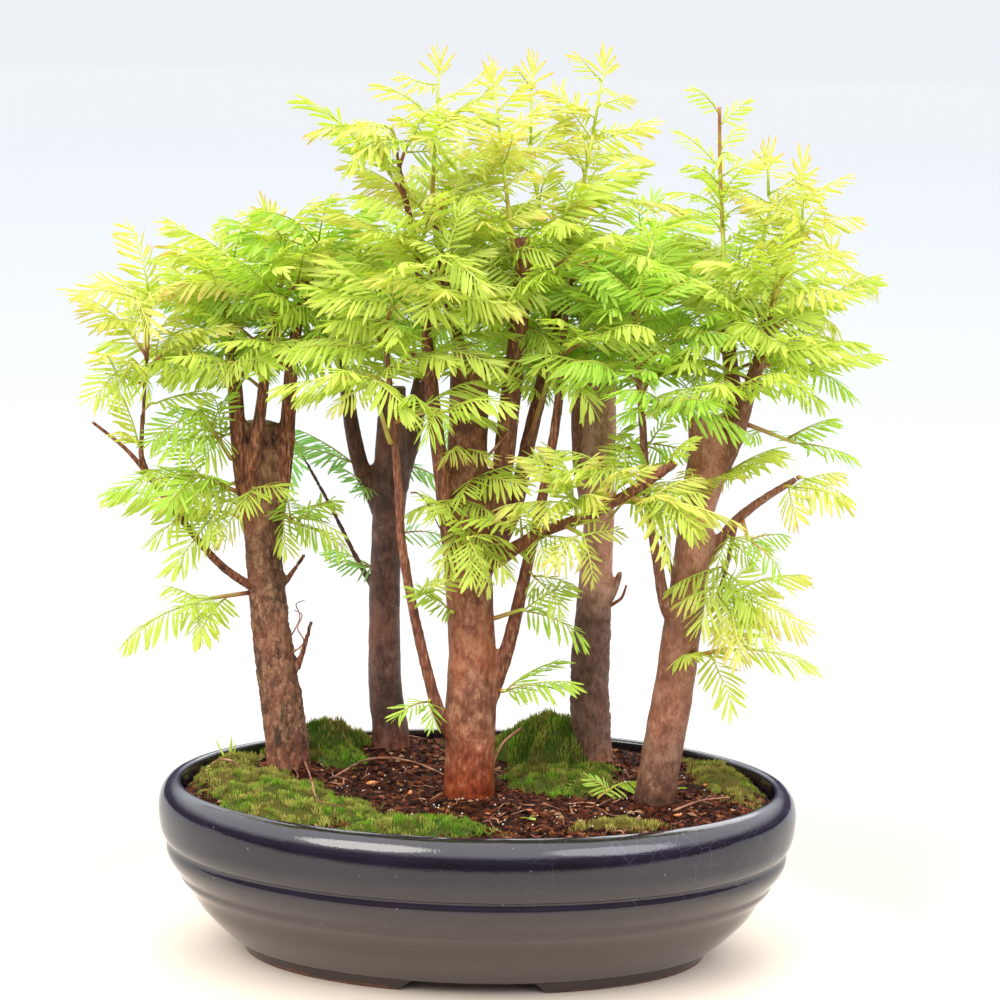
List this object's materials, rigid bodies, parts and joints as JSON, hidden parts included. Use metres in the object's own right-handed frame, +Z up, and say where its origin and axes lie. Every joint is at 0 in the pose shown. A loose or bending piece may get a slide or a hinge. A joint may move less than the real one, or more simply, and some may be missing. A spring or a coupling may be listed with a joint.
{
  "type": "bonsai forest",
  "caption": "Dawn redwood bonsai forest with feathery foliage on tall bare trunks, planted in mossy soil in a dark glazed oval tray.",
  "frame": {"origin": "middle of the whole group's footprint on the ground, which is the middle of the tray to within 2 mm", "axes": "+Z up; X along the tray's length; -Y is the side the group is shown from"},
  "size_m": [0.3742, 0.2231, 0.4242],
  "materials": {
    "tray_glaze": "gloss",
    "soil": "matte",
    "moss": "matte",
    "bark_left": "matte",
    "bark_rear_left": "matte",
    "bark_middle": "matte",
    "bark_rear_right": "matte",
    "bark_right": "matte",
    "needles_gold": "satin",
    "needles_lime": "satin",
    "needles_green": "satin",
    "needles_teal": "satin"
  },
  "bodies": {
    "root": {"leader_apex": "needles_gold", "leader_left": "needles_gold", "leader_mid": "needles_gold", "leader_rear": "needles_gold", "leader_right": "needles_gold", "left_arch": "needles_green", "left_crown_back": "needles_green", "left_crown_up": "needles_gold", "left_droop": "needles_lime", "left_front": "needles_lime", "left_front_right": "needles_lime", "left_inner": "needles_green", "left_low": "needles_lime", "left_mid": "needles_green", "left_tip": "needles_gold", "left_top": "needles_gold", "left_up": "needles_gold", "middle_fan_left": "needles_gold", "middle_fan_right": "needles_lime", "middle_front": "needles_lime", "middle_left": "needles_lime", "middle_right_top": "needles_green", "moss_front": "moss", "moss_left": "moss", "moss_rear_left": "moss", "moss_rear_right": "moss", "near_down": "needles_gold", "near_right": "needles_gold", "near_up": "needles_gold", "rear_left_inner": "needles_teal", "rear_left_low": "needles_teal", "rear_left_mid": "needles_green", "rear_left_top": "needles_green", "rear_left_up": "needles_green", "rear_right_mid": "needles_green", "rear_right_top": "needles_green", "rear_right_up": "needles_green", "right_cluster": "needles_lime", "right_end": "needles_lime", "right_hang": "needles_green", "right_inner": "needles_green", "right_leader": "needles_gold", "right_leader_mid": "needles_gold", "right_low": "needles_lime", "right_lower": "needles_green", "right_mid": "needles_green", "right_tip": "needles_gold", "soil": "soil", "stick": "needles_lime", "tray": "tray_glaze", "trunk_front": "needles_lime", "trunk_low_right": "needles_green", "trunk_side_left": "needles_green", "trunk_side_right": "needles_green", "wood_left": "bark_left", "wood_middle": "bark_middle", "wood_rear_left": "bark_rear_left", "wood_rear_right": "bark_rear_right", "wood_right": "bark_right"}
  },
  "joints": []
}
